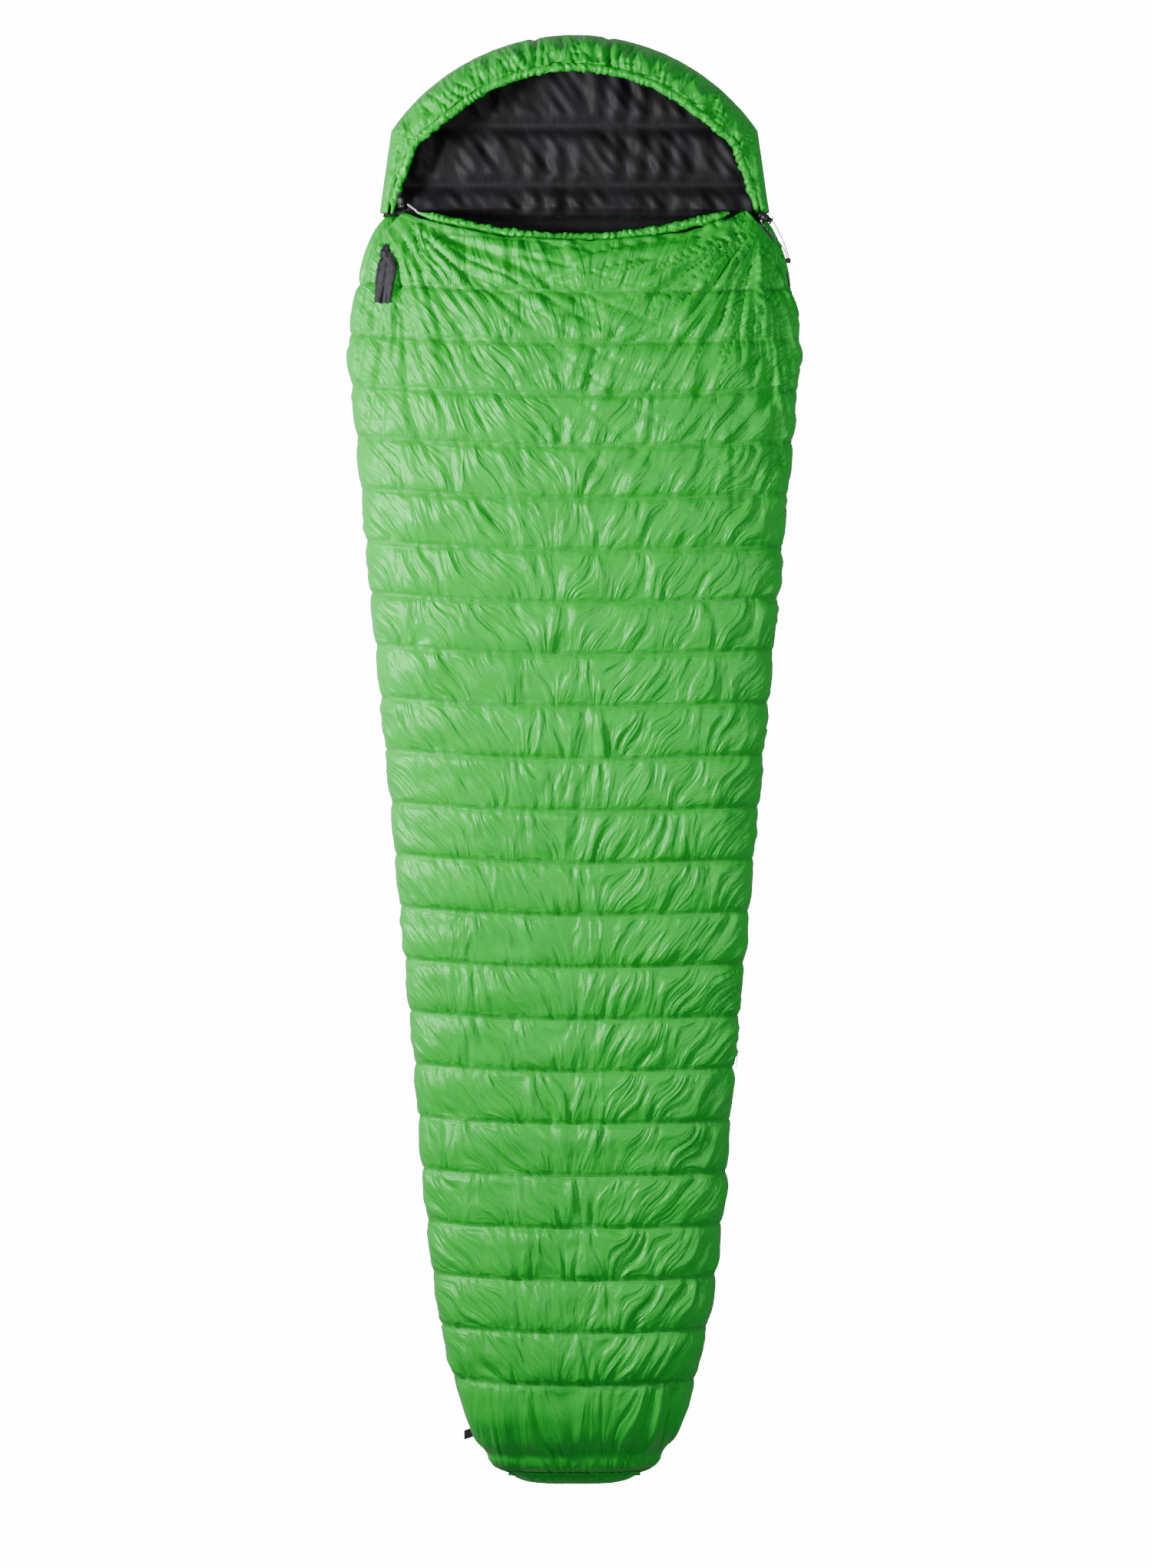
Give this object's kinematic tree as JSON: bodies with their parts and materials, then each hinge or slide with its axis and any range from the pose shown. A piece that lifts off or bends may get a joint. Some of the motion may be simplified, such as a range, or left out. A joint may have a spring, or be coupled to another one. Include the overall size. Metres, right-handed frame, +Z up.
{
  "type": "mummy sleeping bag",
  "caption": "Down mummy sleeping bag laid flat on its back, with a gathered hood, quilted cross channels, side zip and drawcord locks.",
  "frame": {"origin": "on the floor under the middle of the bag's box, as it lies on its back", "axes": "+Y towards the head along the bag, +X towards the zip side, +Z up from the floor"},
  "size_m": [0.6538, 2.1, 0.1674],
  "materials": {
    "shell_nylon": "satin ripstop nylon, quilted",
    "lining_nylon": "soft matt nylon lining",
    "down_fill": "lofted down",
    "zip_tape": "woven tape",
    "zip_coil": "nylon coil",
    "slider_metal": "gunmetal",
    "spring_steel": "bright wire",
    "lock_plastic": "moulded acetal",
    "cord_white": "braided cord",
    "cord_fleck": "braided cord with flecks",
    "patch_fabric": "coated fabric"
  },
  "bodies": {
    "bag": {"back_down": "down_fill", "back_liner": "lining_nylon", "back_shell": "shell_nylon", "collar_channel": "shell_nylon", "collar_drawcord": "cord_white", "collar_lock_barrel": "lock_plastic", "collar_lock_spring": "spring_steel", "collar_lock_tab": "zip_tape", "cord_end": "lock_plastic", "draft_tube": "lining_nylon", "foot_down": "down_fill", "foot_label": "zip_tape", "foot_liner": "lining_nylon", "foot_shell": "shell_nylon", "front_down": "down_fill", "front_liner": "lining_nylon", "front_shell": "shell_nylon", "hood_lock_barrel": "lock_plastic", "hood_lock_spring": "spring_steel", "hood_lock_tab": "zip_tape", "pull_strand_a": "cord_fleck", "pull_strand_b": "cord_fleck", "shoulder_patch": "patch_fabric", "zip_bottom_stop": "slider_metal", "zip_coil_back": "zip_coil", "zip_coil_front": "zip_coil", "zip_tape_back": "zip_tape", "zip_tape_front": "zip_tape", "zip_top_stop": "slider_metal"},
    "front_corner": {"flap_collar_channel": "shell_nylon", "flap_collar_drawcord": "cord_white", "flap_down": "down_fill", "flap_liner": "lining_nylon", "flap_shell": "shell_nylon", "flap_zip_coil": "zip_coil", "flap_zip_tape": "zip_tape", "flap_zip_top_stop": "slider_metal"},
    "hood": {"hood_back_down": "down_fill", "hood_back_liner": "lining_nylon", "hood_back_shell": "shell_nylon", "hood_crown_down": "down_fill", "hood_crown_liner": "lining_nylon", "hood_crown_shell": "shell_nylon", "hood_drawcord": "cord_fleck", "hood_edge_channel": "shell_nylon"},
    "top_slider": {"top_slider": "slider_metal"},
    "top_puller": {"top_puller": "slider_metal"},
    "bottom_slider": {"bottom_slider": "slider_metal"},
    "bottom_puller": {"bottom_puller": "slider_metal"},
    "hood_lock_plunger": {"hood_lock_plunger": "lock_plastic"},
    "collar_lock_plunger": {"collar_lock_plunger": "lock_plastic"}
  },
  "joints": [
    {"name": "corner_fold", "type": "hinge", "parent": "bag", "child": "front_corner", "pos_m": [0.326, 0.566, 0.156], "axis": [0.8935, -0.4491, 0], "range_deg": [0, 150]},
    {"name": "hood_tilt", "type": "hinge", "parent": "bag", "child": "hood", "pos_m": [0, 0.79, 0.072], "axis": [1, 0, 0], "range_deg": [0, 12]},
    {"name": "top_slider_run", "type": "hinge", "parent": "bag", "child": "top_slider", "pos_m": [0.018, 0.594, 0.068], "axis": [0, 0, -1], "range_deg": [0, 39]},
    {"name": "top_puller_flip", "type": "hinge", "parent": "top_slider", "child": "top_puller", "pos_m": [0.27274, 0.77529, 0.068], "axis": [0, 0, 1], "range_deg": [0, 95]},
    {"name": "bottom_slider_run", "type": "slide", "parent": "bag", "child": "bottom_slider", "axis": [0.0932, 0.9956, 0], "range_m": [0, 0.95]},
    {"name": "bottom_puller_flip", "type": "hinge", "parent": "bottom_slider", "child": "bottom_puller", "pos_m": [0.23682, -0.42303, 0.068], "axis": [0, 0, 1], "range_deg": [0, 170]},
    {"name": "hood_lock_press", "type": "slide", "parent": "bag", "child": "hood_lock_plunger", "axis": [-0.866, 0.5, 0], "range_m": [0, 0.0035], "stiffness_N_per_m": 300, "deforming": ["hood_lock_spring"]},
    {"name": "collar_lock_press", "type": "slide", "parent": "bag", "child": "collar_lock_plunger", "axis": [0.1782, -0.984, 0], "range_m": [0, 0.0035], "stiffness_N_per_m": 300, "deforming": ["collar_lock_spring"]}
  ],
  "couplings": [
    {"joint": "top_slider_run", "follows": "corner_fold", "ratio": 0.26}
  ]
}
